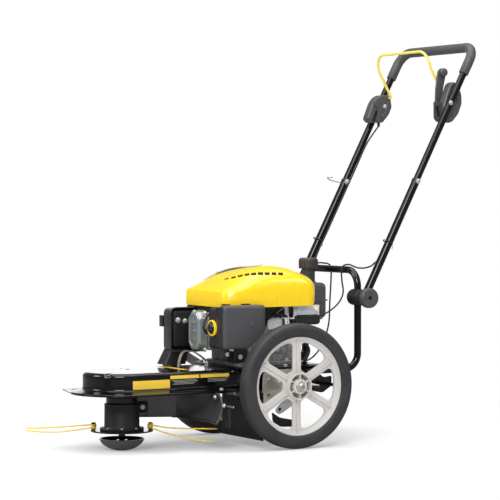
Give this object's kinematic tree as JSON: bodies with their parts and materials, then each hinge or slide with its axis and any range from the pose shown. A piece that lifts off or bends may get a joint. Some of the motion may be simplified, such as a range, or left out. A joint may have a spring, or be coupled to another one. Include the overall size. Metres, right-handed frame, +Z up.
{
  "type": "petrol lawn mower",
  "caption": "Walk-behind petrol string-trimmer mower with a front cutting head on a skid cup, two spoked wheels, an engine over the axle and a folding push handle.",
  "frame": {"origin": "centre of the skid cup's flat foot, on the ground under the trimmer spindle", "axes": "+Z up, +Y from the cutting head towards the push handle, +X to the mower's left side"},
  "size_m": [0.5356, 1.3433, 1.1736],
  "materials": {
    "gloss_black": "gloss black enamel",
    "heat_black": "matt heat-proof black",
    "black_plastic": "satin moulded black",
    "grey_plastic": "fine-grained dark grey",
    "pale_plastic": "satin warm light grey",
    "yellow_cover": "gloss yellow",
    "yellow_bar": "gloss yellow enamel",
    "yellow_line": "translucent yellow nylon",
    "tyre": "satin black",
    "rubber": "matt black",
    "foam": "matt foam",
    "zinc": "bright zinc plate",
    "cast_aluminium": "cast, dull",
    "steel": "turned"
  },
  "bodies": {
    "chassis": {"belt_cover": "gloss_black", "deck_plate": "gloss_black", "debris_guard": "black_plastic", "mud_flap": "rubber", "frame_tube": "gloss_black", "engine_plate": "gloss_black", "axle_plate_left": "zinc", "axle_plate_right": "zinc", "spindle_housing": "gloss_black", "drive_belt": "rubber", "crankcase": "cast_aluminium", "cylinder": "cast_aluminium", "valve_cover": "zinc", "spark_plug_boot": "black_plastic", "muffler": "heat_black", "muffler_guard": "grey_plastic", "blower_cover": "yellow_cover", "filter_box": "black_plastic", "filter_cover": "grey_plastic", "filter_element": "foam", "primer_ring": "yellow_cover", "carburettor": "cast_aluminium", "control_bracket": "zinc", "tank_bracket": "gloss_black", "fuel_tank": "grey_plastic", "throttle_cable_lower": "rubber", "belt_cable_lower": "rubber"},
    "wheel_left": {"tyre_left": "tyre", "rim_left": "pale_plastic"},
    "wheel_right": {"tyre_right": "tyre", "rim_right": "pale_plastic"},
    "head": {"spindle_shaft": "steel", "head_drum": "black_plastic", "line_disc": "gloss_black", "head_pulley": "steel", "cutting_line_left_upper": "yellow_line", "cutting_line_left_lower": "yellow_line", "cutting_line_right_upper": "yellow_line", "cutting_line_right_lower": "yellow_line"},
    "skid": {"skid_cup": "gloss_black"},
    "crank": {"crankshaft": "steel", "flywheel": "cast_aluminium", "engine_pulley": "steel"},
    "idler": {"idler_arm": "zinc", "idler_pulley": "steel"},
    "handle": {"lower_handle_left": "gloss_black", "lower_handle_right": "gloss_black", "upper_handle": "gloss_black", "foam_grip": "foam", "throttle_housing": "grey_plastic", "bail_housing": "grey_plastic", "throttle_cable_upper": "rubber", "belt_cable_upper": "rubber"},
    "knob_left": {"handle_knob_left": "black_plastic"},
    "knob_right": {"handle_knob_right": "black_plastic"},
    "throttle": {"throttle_lever": "black_plastic"},
    "bail": {"bail_bar": "yellow_bar"},
    "primer": {"primer_bulb": "rubber"},
    "cap": {"fuel_cap": "black_plastic"},
    "starter": {"starter_grip": "black_plastic"}
  },
  "joints": [
    {"name": "wheel_left_spin", "type": "hinge", "parent": "chassis", "child": "wheel_left", "pos_m": [0.2305, 0.4358, 0.178], "axis": [1, 0, 0], "continuous": true},
    {"name": "wheel_right_spin", "type": "hinge", "parent": "chassis", "child": "wheel_right", "pos_m": [-0.2305, 0.4358, 0.178], "axis": [1, 0, 0], "continuous": true},
    {"name": "crank_spin", "type": "hinge", "parent": "chassis", "child": "crank", "pos_m": [0, 0.42, 0.2], "axis": [0, 0, 1], "continuous": true},
    {"name": "head_spin", "type": "hinge", "parent": "chassis", "child": "head", "pos_m": [0, 0, 0.1], "axis": [0, 0, 1], "continuous": true},
    {"name": "skid_spin", "type": "hinge", "parent": "head", "child": "skid", "pos_m": [0, 0, 0], "axis": [0, 0, 1], "continuous": true},
    {"name": "bail_squeeze", "type": "hinge", "parent": "handle", "child": "bail", "pos_m": [0, 1.00801, 1.01802], "axis": [-1, 0, 0], "range_deg": [0, 45], "stiffness_Nm_per_rad": 0.5, "springref_deg": -20.05},
    {"name": "idler_swing", "type": "hinge", "parent": "chassis", "child": "idler", "pos_m": [-0.08402, 0.285, 0.16], "axis": [0, 0, 1], "range_deg": [0, 4.5]},
    {"name": "handle_fold", "type": "hinge", "parent": "chassis", "child": "handle", "pos_m": [0, 0.692, 0.42], "axis": [1, 0, 0], "range_deg": [-15, 105]},
    {"name": "knob_left_turn", "type": "hinge", "parent": "handle", "child": "knob_left", "pos_m": [0.191, 0.692, 0.42], "axis": [1, 0, 0], "range_deg": [0, 360]},
    {"name": "knob_right_turn", "type": "hinge", "parent": "handle", "child": "knob_right", "pos_m": [-0.191, 0.692, 0.42], "axis": [1, 0, 0], "range_deg": [0, 360]},
    {"name": "throttle_swing", "type": "hinge", "parent": "handle", "child": "throttle", "pos_m": [0.1462, 0.98201, 0.98502], "axis": [1, 0, 0], "range_deg": [0, 50]},
    {"name": "primer_push", "type": "slide", "parent": "chassis", "child": "primer", "axis": [0, 1, 0], "range_m": [0, 0.005], "stiffness_N_per_m": 400},
    {"name": "cap_turn", "type": "hinge", "parent": "chassis", "child": "cap", "pos_m": [-0.045, 0.648, 0.51], "axis": [0, 0, 1], "range_deg": [0, 180]},
    {"name": "starter_pull", "type": "slide", "parent": "chassis", "child": "starter", "axis": [-1, 0, 0], "range_m": [0, 0.5], "stiffness_N_per_m": 25, "springref_m": -0.2}
  ],
  "couplings": [
    {"joint": "head_spin", "follows": "crank_spin", "ratio": 0.6491},
    {"joint": "idler_swing", "follows": "bail_squeeze", "ratio": 0.1}
  ]
}
